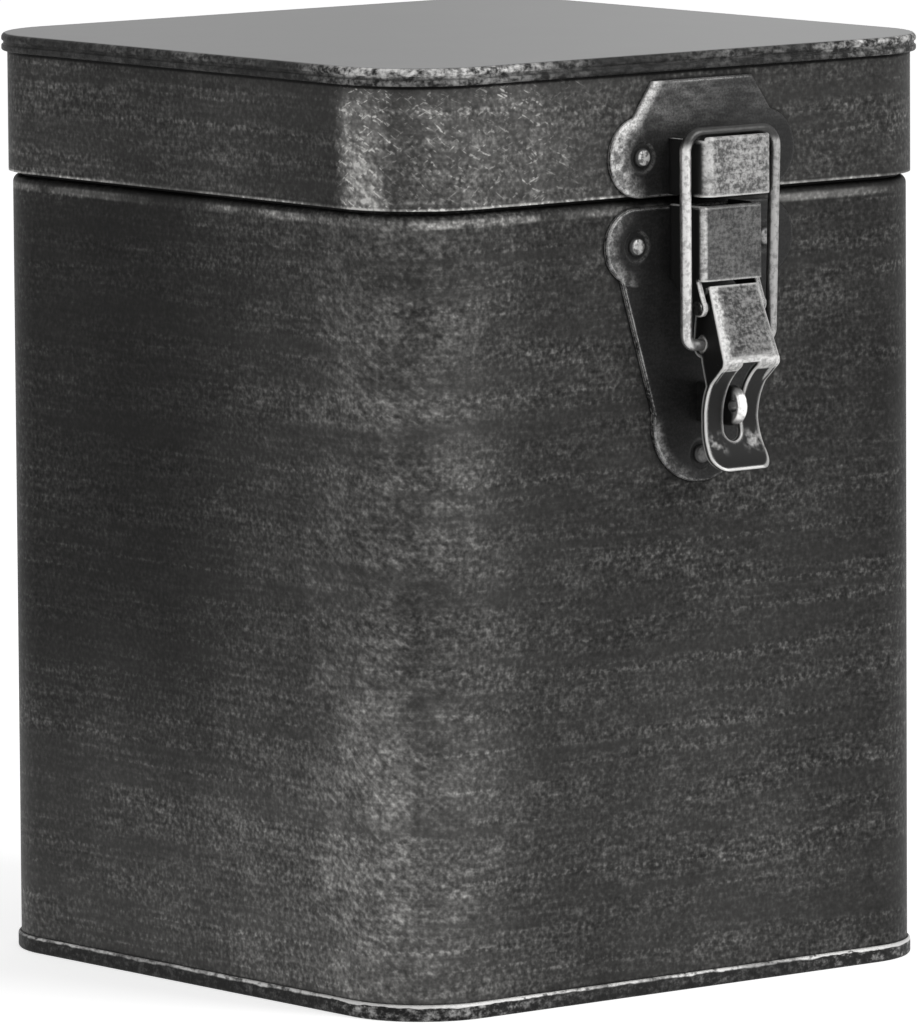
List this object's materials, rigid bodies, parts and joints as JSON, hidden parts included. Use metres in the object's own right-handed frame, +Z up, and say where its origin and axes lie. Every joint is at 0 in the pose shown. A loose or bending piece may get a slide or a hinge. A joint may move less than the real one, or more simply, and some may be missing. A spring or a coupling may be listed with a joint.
{
  "type": "latched metal storage box",
  "caption": "Tall rounded-square tin box with a rear-hinged slip-over lid, rolled seams and a front draw latch with wire bail, lever and padlock eye.",
  "frame": {"origin": "centre of the box's plan on the surface it stands on", "axes": "+Z up, -Y out of the face with the latch, +Y out of the hinge side, +X to the right when facing the latch"},
  "size_m": [0.1778, 0.1986, 0.2332],
  "materials": {
    "body_sheet": "black rubbed through to silver in fine level streaks",
    "bottom_sheet": "black with the rolled seam rubbed silver",
    "lid_band_sheet": "black rubbed through to silver in fine level streaks",
    "lid_top_sheet": "satin black with the rolled seam rubbed silver",
    "rivet_steel": "dark with rubbed crowns",
    "bail_wire": "bright drawn wire, tarnished in the bends",
    "latch_plate_steel": "black with rubbed edges",
    "latch_boss_steel": "grained dark grey with rubbed edges",
    "lever_steel": "grained dark grey with bright worn edges",
    "staple_steel": "worn bright",
    "pin_steel": "dull",
    "hinge_steel": "black with rubbed edges"
  },
  "bodies": {
    "box": {"body_shell": "body_sheet", "bottom_panel": "bottom_sheet", "latch_base_plate": "latch_plate_steel", "latch_base_rivets": "rivet_steel", "latch_housing": "latch_boss_steel", "lever_pivot_pin": "pin_steel", "padlock_staple": "staple_steel", "hinge_body_leaf_left": "hinge_steel", "hinge_body_leaf_right": "hinge_steel", "hinge_pin_left": "pin_steel", "hinge_pin_right": "pin_steel", "hinge_body_rivets": "rivet_steel"},
    "lid": {"lid_band": "lid_band_sheet", "lid_top_panel": "lid_top_sheet", "keeper_plate": "latch_plate_steel", "keeper_hook": "latch_boss_steel", "keeper_rivets": "rivet_steel", "hinge_lid_leaf_left": "hinge_steel", "hinge_lid_leaf_right": "hinge_steel", "hinge_lid_rivets": "rivet_steel"},
    "lever": {"latch_lever": "lever_steel"},
    "bail": {"wire_bail": "bail_wire"}
  },
  "joints": [
    {"name": "lid_hinge", "type": "hinge", "parent": "box", "child": "lid", "pos_m": [0, 0.0896, 0.197], "axis": [-1, 0, 0], "range_deg": [0, 180]},
    {"name": "lever_pivot", "type": "hinge", "parent": "box", "child": "lever", "pos_m": [0.006, -0.0983, 0.171], "axis": [-1, 0, 0], "range_deg": [0, 110]},
    {"name": "bail_pivot", "type": "hinge", "parent": "lever", "child": "bail", "pos_m": [0.006, -0.0979, 0.162], "axis": [-1, 0, 0], "range_deg": [-96, 0]}
  ],
  "couplings": [
    {"joint": "bail_pivot", "follows": "lever_pivot", "ratio": -0.86}
  ]
}
